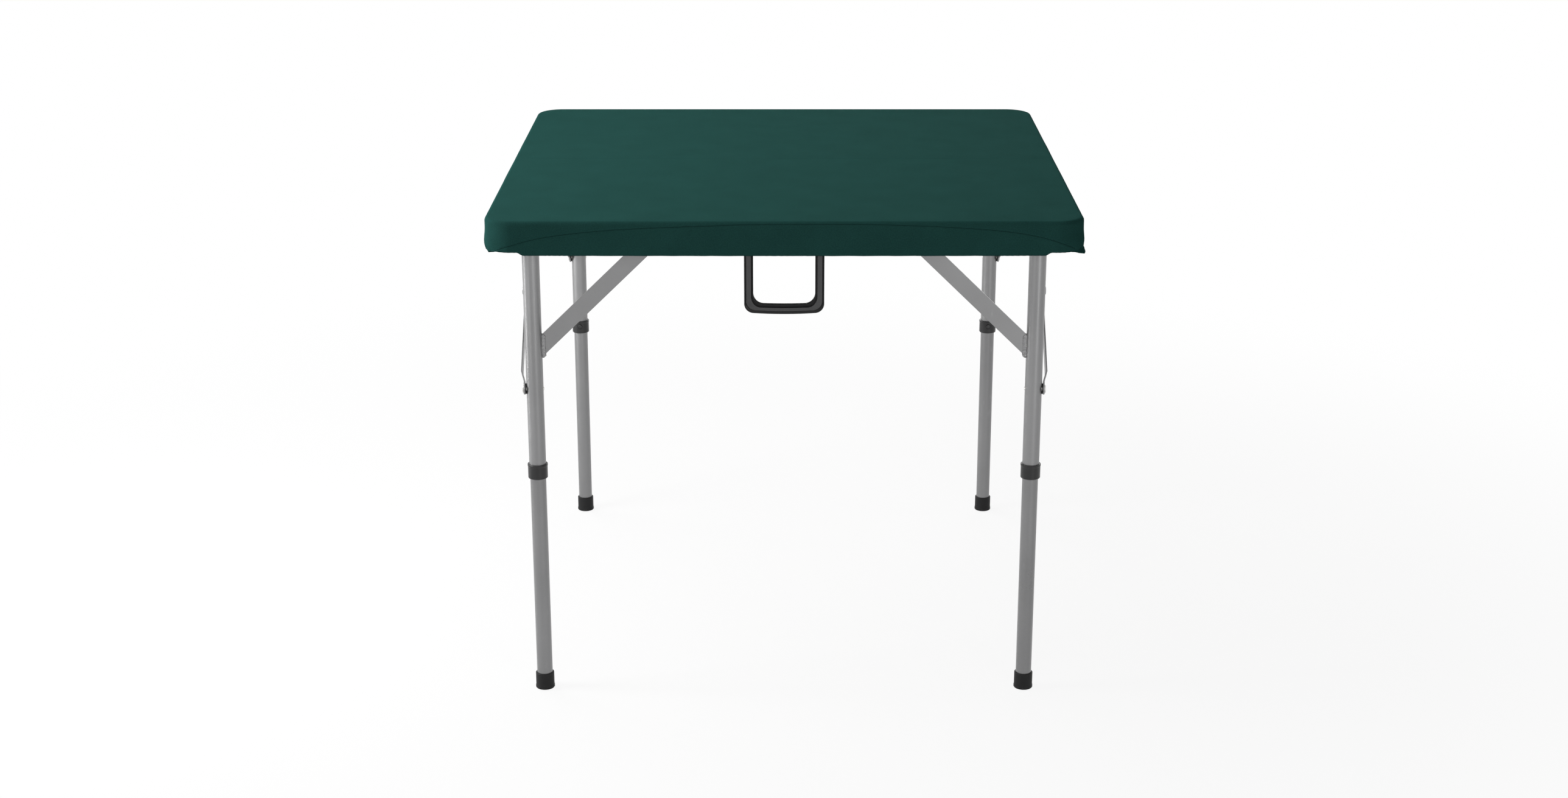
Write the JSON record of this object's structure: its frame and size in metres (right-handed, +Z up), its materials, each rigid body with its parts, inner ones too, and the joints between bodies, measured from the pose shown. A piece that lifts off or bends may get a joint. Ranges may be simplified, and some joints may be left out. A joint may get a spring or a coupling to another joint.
{
  "type": "folding card table",
  "caption": "Square fold-in-half card table with a fitted stretch cover, telescoping steel legs on folding frames and a carry handle.",
  "frame": {"origin": "on the floor below the middle of the top", "axes": "+X to the right, +Y to the rear, away from the carry handle, +Z up"},
  "size_m": [0.878, 0.878, 0.7517],
  "materials": {
    "cover_cloth": "matte",
    "panel_plastic": "matte",
    "grey_steel": "satin",
    "bright_steel": "satin",
    "dark_steel": "satin",
    "black_plastic": "satin"
  },
  "bodies": {
    "front_half": {"table_cover": "cover_cloth", "panel_front": "panel_plastic", "rail_front_left": "grey_steel", "rail_front_right": "grey_steel", "hinge_leaf_front_left": "grey_steel", "hinge_leaf_front_right": "grey_steel", "hinge_pins": "bright_steel", "handle_mount": "black_plastic", "rail_screws_front": "bright_steel", "pivot_bushes_front": "black_plastic", "brace_rivets_front": "bright_steel"},
    "carry_handle": {"carry_handle": "black_plastic"},
    "rear_half": {"panel_rear": "panel_plastic", "rail_rear_left": "grey_steel", "rail_rear_right": "grey_steel", "hinge_leaf_rear_left": "grey_steel", "hinge_leaf_rear_right": "grey_steel", "rail_screws_rear": "bright_steel", "pivot_bushes_rear": "black_plastic", "brace_rivets_rear": "bright_steel"},
    "front_leg_frame": {"crossbar_front": "grey_steel", "leg_caps_front": "black_plastic", "leg_studs_front": "bright_steel", "leg_washers_front": "black_plastic", "upper_leg_front_left": "grey_steel", "upper_leg_front_right": "grey_steel", "gusset_front_left": "grey_steel", "gusset_front_right": "grey_steel", "collar_front_left": "black_plastic", "collar_front_right": "black_plastic"},
    "brace_lower_front_left": {"brace_lower_front_left": "grey_steel"},
    "brace_upper_front_left": {"brace_upper_front_left": "grey_steel"},
    "brace_lower_front_right": {"brace_lower_front_right": "grey_steel"},
    "brace_upper_front_right": {"brace_upper_front_right": "grey_steel"},
    "rear_leg_frame": {"crossbar_rear": "grey_steel", "leg_caps_rear": "black_plastic", "leg_studs_rear": "bright_steel", "leg_washers_rear": "black_plastic", "upper_leg_rear_left": "grey_steel", "upper_leg_rear_right": "grey_steel", "gusset_rear_left": "grey_steel", "gusset_rear_right": "grey_steel", "collar_rear_left": "black_plastic", "collar_rear_right": "black_plastic"},
    "brace_lower_rear_left": {"brace_lower_rear_left": "grey_steel"},
    "brace_upper_rear_left": {"brace_upper_rear_left": "grey_steel"},
    "brace_lower_rear_right": {"brace_lower_rear_right": "grey_steel"},
    "brace_upper_rear_right": {"brace_upper_rear_right": "grey_steel"},
    "lower_leg_front_left": {"lower_leg_front_left": "grey_steel", "foot_front_left": "black_plastic"},
    "snap_clip_front_left": {"snap_clip_front_left": "dark_steel"},
    "lower_leg_front_right": {"lower_leg_front_right": "grey_steel", "foot_front_right": "black_plastic"},
    "snap_clip_front_right": {"snap_clip_front_right": "dark_steel"},
    "lower_leg_rear_left": {"lower_leg_rear_left": "grey_steel", "foot_rear_left": "black_plastic"},
    "snap_clip_rear_left": {"snap_clip_rear_left": "dark_steel"},
    "lower_leg_rear_right": {"lower_leg_rear_right": "grey_steel", "foot_rear_right": "black_plastic"},
    "snap_clip_rear_right": {"snap_clip_rear_right": "dark_steel"}
  },
  "joints": [
    {"name": "half_fold", "type": "hinge", "parent": "front_half", "child": "rear_half", "pos_m": [0, 0, 0.702], "axis": [-1, 0, 0], "range_deg": [0, 55], "deforming": ["table_cover"]},
    {"name": "handle_swing", "type": "hinge", "parent": "front_half", "child": "carry_handle", "pos_m": [0, -0.4167, 0.704], "axis": [1, 0, 0], "range_deg": [-40, 75]},
    {"name": "front_leg_fold", "type": "hinge", "parent": "front_half", "child": "front_leg_frame", "pos_m": [0, -0.40104, 0.719], "axis": [1, 0, 0], "range_deg": [0, 90]},
    {"name": "brace_lower_front_left_turn", "type": "hinge", "parent": "front_leg_frame", "child": "brace_lower_front_left", "pos_m": [0, -0.40104, 0.4875], "axis": [1, 0, 0], "range_deg": [0, 43.12]},
    {"name": "brace_upper_front_left_turn", "type": "hinge", "parent": "front_half", "child": "brace_upper_front_left", "pos_m": [0, -0.18504, 0.719], "axis": [1, 0, 0], "range_deg": [-47.08, 0]},
    {"name": "brace_lower_front_right_turn", "type": "hinge", "parent": "front_leg_frame", "child": "brace_lower_front_right", "pos_m": [0, -0.40104, 0.4875], "axis": [1, 0, 0], "range_deg": [0, 43.12]},
    {"name": "brace_upper_front_right_turn", "type": "hinge", "parent": "front_half", "child": "brace_upper_front_right", "pos_m": [0, -0.18504, 0.719], "axis": [1, 0, 0], "range_deg": [-47.08, 0]},
    {"name": "rear_leg_fold", "type": "hinge", "parent": "rear_half", "child": "rear_leg_frame", "pos_m": [0, 0.40104, 0.719], "axis": [-1, 0, 0], "range_deg": [0, 90]},
    {"name": "brace_lower_rear_left_turn", "type": "hinge", "parent": "rear_leg_frame", "child": "brace_lower_rear_left", "pos_m": [0, 0.40104, 0.4875], "axis": [-1, 0, 0], "range_deg": [0, 43.12]},
    {"name": "brace_upper_rear_left_turn", "type": "hinge", "parent": "rear_half", "child": "brace_upper_rear_left", "pos_m": [0, 0.18504, 0.719], "axis": [-1, 0, 0], "range_deg": [-47.08, 0]},
    {"name": "brace_lower_rear_right_turn", "type": "hinge", "parent": "rear_leg_frame", "child": "brace_lower_rear_right", "pos_m": [0, 0.40104, 0.4875], "axis": [-1, 0, 0], "range_deg": [0, 43.12]},
    {"name": "brace_upper_rear_right_turn", "type": "hinge", "parent": "rear_half", "child": "brace_upper_rear_right", "pos_m": [0, 0.18504, 0.719], "axis": [-1, 0, 0], "range_deg": [-47.08, 0]},
    {"name": "front_left_leg_slide", "type": "slide", "parent": "front_leg_frame", "child": "lower_leg_front_left", "axis": [0, 0, 1], "range_m": [0, 0.31999], "deforming": ["snap_clip_front_left"]},
    {"name": "front_left_button", "type": "slide", "parent": "lower_leg_front_left", "child": "snap_clip_front_left", "axis": [0, -1, 0], "range_m": [0, 0.0042], "stiffness_N_per_m": 1500, "springref_m": -0.002},
    {"name": "front_right_leg_slide", "type": "slide", "parent": "front_leg_frame", "child": "lower_leg_front_right", "axis": [0, 0, 1], "range_m": [0, 0.31999], "deforming": ["snap_clip_front_right"]},
    {"name": "front_right_button", "type": "slide", "parent": "lower_leg_front_right", "child": "snap_clip_front_right", "axis": [0, -1, 0], "range_m": [0, 0.0042], "stiffness_N_per_m": 1500, "springref_m": -0.002},
    {"name": "rear_left_leg_slide", "type": "slide", "parent": "rear_leg_frame", "child": "lower_leg_rear_left", "axis": [0, 0, 1], "range_m": [0, 0.31999], "deforming": ["snap_clip_rear_left"]},
    {"name": "rear_left_button", "type": "slide", "parent": "lower_leg_rear_left", "child": "snap_clip_rear_left", "axis": [0, 1, 0], "range_m": [0, 0.0042], "stiffness_N_per_m": 1500, "springref_m": -0.002},
    {"name": "rear_right_leg_slide", "type": "slide", "parent": "rear_leg_frame", "child": "lower_leg_rear_right", "axis": [0, 0, 1], "range_m": [0, 0.31999], "deforming": ["snap_clip_rear_right"]},
    {"name": "rear_right_button", "type": "slide", "parent": "lower_leg_rear_right", "child": "snap_clip_rear_right", "axis": [0, 1, 0], "range_m": [0, 0.0042], "stiffness_N_per_m": 1500, "springref_m": -0.002}
  ],
  "couplings": [
    {"joint": "brace_lower_front_left_turn", "follows": "front_leg_fold", "ratio": 0.47796},
    {"joint": "brace_upper_front_left_turn", "follows": "front_leg_fold", "ratio": -0.52204},
    {"joint": "brace_lower_front_right_turn", "follows": "front_leg_fold", "ratio": 0.47796},
    {"joint": "brace_upper_front_right_turn", "follows": "front_leg_fold", "ratio": -0.52204},
    {"joint": "brace_lower_rear_left_turn", "follows": "rear_leg_fold", "ratio": 0.47796},
    {"joint": "brace_upper_rear_left_turn", "follows": "rear_leg_fold", "ratio": -0.52204},
    {"joint": "brace_lower_rear_right_turn", "follows": "rear_leg_fold", "ratio": 0.47796},
    {"joint": "brace_upper_rear_right_turn", "follows": "rear_leg_fold", "ratio": -0.52204}
  ]
}
